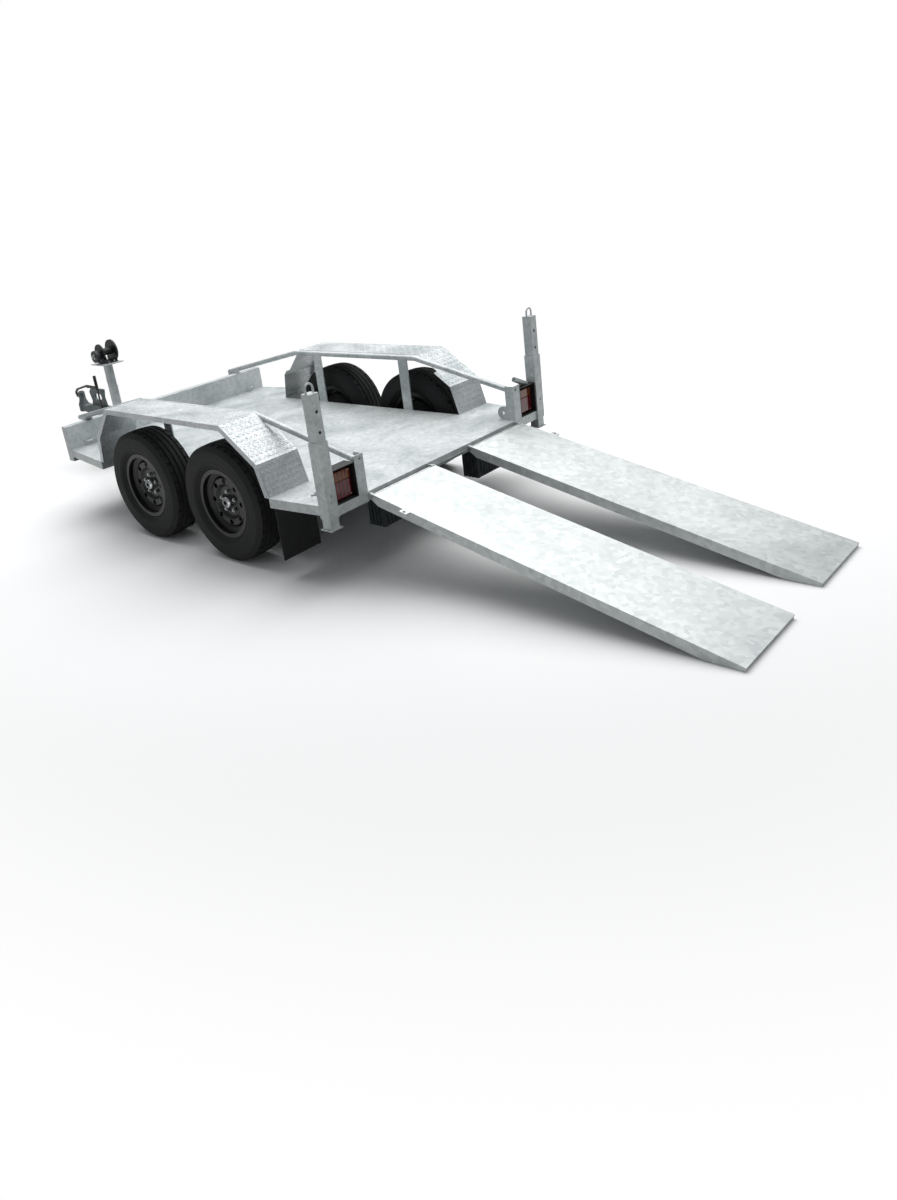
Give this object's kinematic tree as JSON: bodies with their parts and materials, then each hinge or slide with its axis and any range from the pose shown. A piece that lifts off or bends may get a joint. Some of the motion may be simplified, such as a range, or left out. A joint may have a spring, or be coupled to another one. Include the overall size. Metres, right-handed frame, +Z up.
{
  "type": "scissor lift trailer",
  "caption": "Tandem-axle plant trailer with a low galvanised deck, tread-plate mudguards, side rails, drop-down stabiliser legs and two hinged loading ramps.",
  "frame": {"origin": "on the floor, under the middle of the overall length and width", "axes": "+X forward to the coupling, +Y to the trailer's left, +Z up"},
  "size_m": [5.8456, 1.813, 1.0499],
  "materials": {
    "galvanised_steel": "hot-dip galvanised, spangled",
    "tread_plate": "hot-dip galvanised tread plate",
    "ramp_galvanising": "hot-dip galvanised, smooth",
    "coupling_galvanising": "hot-dip galvanised casting",
    "tyre_rubber": "matt black rubber",
    "black_wheel_paint": "satin black paint",
    "hub_iron": "machined cast iron",
    "black_lamp_housing": "satin black",
    "red_lens": "moulded red lens",
    "amber_lens": "moulded amber lens",
    "flap_rubber": "matt rubber sheet",
    "block_rubber": "weathered grey rubber",
    "axle_paint": "black paint",
    "spring_steel": "oiled dark steel",
    "winch_paint": "black powder coat",
    "handle_paint": "dark paint",
    "jockey_rubber": "solid rubber",
    "bright_steel": "plated steel"
  },
  "bodies": {
    "trailer": {"axles": "axle_paint", "brake_lever": "handle_paint", "chassis_rails": "galvanised_steel", "coupling_body": "coupling_galvanising", "coupling_handle": "handle_paint", "cross_members": "galvanised_steel", "deck_plate": "galvanised_steel", "drawbar": "galvanised_steel", "front_board": "galvanised_steel", "hinge_pins": "bright_steel", "indicator_lenses": "amber_lens", "jockey_tube": "galvanised_steel", "lamp_boxes": "black_lamp_housing", "leaf_springs": "spring_steel", "leg_sleeves": "galvanised_steel", "mudflaps": "flap_rubber", "mudguards": "tread_plate", "rail_supports": "galvanised_steel", "rear_crossbar": "galvanised_steel", "rear_posts": "galvanised_steel", "side_rails": "galvanised_steel", "spring_hangers": "galvanised_steel", "stop_lenses": "red_lens", "tail_blocks": "block_rubber", "tie_down_loops": "galvanised_steel", "winch": "winch_paint", "winch_post": "galvanised_steel", "wing_frames": "galvanised_steel"},
    "wheel_rear_left": {"tyre_rear_left": "tyre_rubber", "rim_rear_left": "black_wheel_paint", "hub_rear_left": "hub_iron"},
    "wheel_rear_right": {"tyre_rear_right": "tyre_rubber", "rim_rear_right": "black_wheel_paint", "hub_rear_right": "hub_iron"},
    "wheel_front_left": {"tyre_front_left": "tyre_rubber", "rim_front_left": "black_wheel_paint", "hub_front_left": "hub_iron"},
    "wheel_front_right": {"tyre_front_right": "tyre_rubber", "rim_front_right": "black_wheel_paint", "hub_front_right": "hub_iron"},
    "ramp_body_left": {"ramp_left": "ramp_galvanising"},
    "leg_body_left": {"stabiliser_leg_left": "galvanised_steel"},
    "ramp_body_right": {"ramp_right": "ramp_galvanising"},
    "leg_body_right": {"stabiliser_leg_right": "galvanised_steel"},
    "jockey_tube_inner": {"jockey_leg": "galvanised_steel"},
    "jockey_swivel": {"jockey_fork": "galvanised_steel"},
    "jockey_roller": {"jockey_wheel": "jockey_rubber"}
  },
  "joints": [
    {"name": "wheel_rear_left_turn", "type": "hinge", "parent": "trailer", "child": "wheel_rear_left", "pos_m": [-0.18587, 0.8, 0.333], "axis": [0, 1, 0], "continuous": true},
    {"name": "wheel_rear_right_turn", "type": "hinge", "parent": "trailer", "child": "wheel_rear_right", "pos_m": [-0.18587, -0.8, 0.333], "axis": [0, 1, 0], "continuous": true},
    {"name": "wheel_front_left_turn", "type": "hinge", "parent": "trailer", "child": "wheel_front_left", "pos_m": [0.57713, 0.8, 0.333], "axis": [0, 1, 0], "continuous": true},
    {"name": "wheel_front_right_turn", "type": "hinge", "parent": "trailer", "child": "wheel_front_right", "pos_m": [0.57713, -0.8, 0.333], "axis": [0, 1, 0], "continuous": true},
    {"name": "ramp_left_lift", "type": "hinge", "parent": "trailer", "child": "ramp_body_left", "pos_m": [-1.08187, 0.3915, 0.42], "axis": [0, 1, 0], "range_deg": [0, 102.69]},
    {"name": "ramp_right_lift", "type": "hinge", "parent": "trailer", "child": "ramp_body_right", "pos_m": [-1.08187, -0.3915, 0.42], "axis": [0, 1, 0], "range_deg": [0, 102.69]},
    {"name": "leg_left_slide", "type": "slide", "parent": "trailer", "child": "leg_body_left", "axis": [0, 0, -1], "range_m": [0, 0.33]},
    {"name": "leg_right_slide", "type": "slide", "parent": "trailer", "child": "leg_body_right", "axis": [0, 0, -1], "range_m": [0, 0.33]},
    {"name": "jockey_raise", "type": "slide", "parent": "trailer", "child": "jockey_tube_inner", "axis": [0, 0, 1], "range_m": [0, 0.1]},
    {"name": "jockey_castor", "type": "hinge", "parent": "jockey_tube_inner", "child": "jockey_swivel", "pos_m": [2.48313, -0.113, 0.1643], "axis": [0, 0, 1], "continuous": true},
    {"name": "jockey_roll", "type": "hinge", "parent": "jockey_swivel", "child": "jockey_roller", "pos_m": [2.45313, -0.113, 0.075], "axis": [0, 1, 0], "continuous": true}
  ]
}
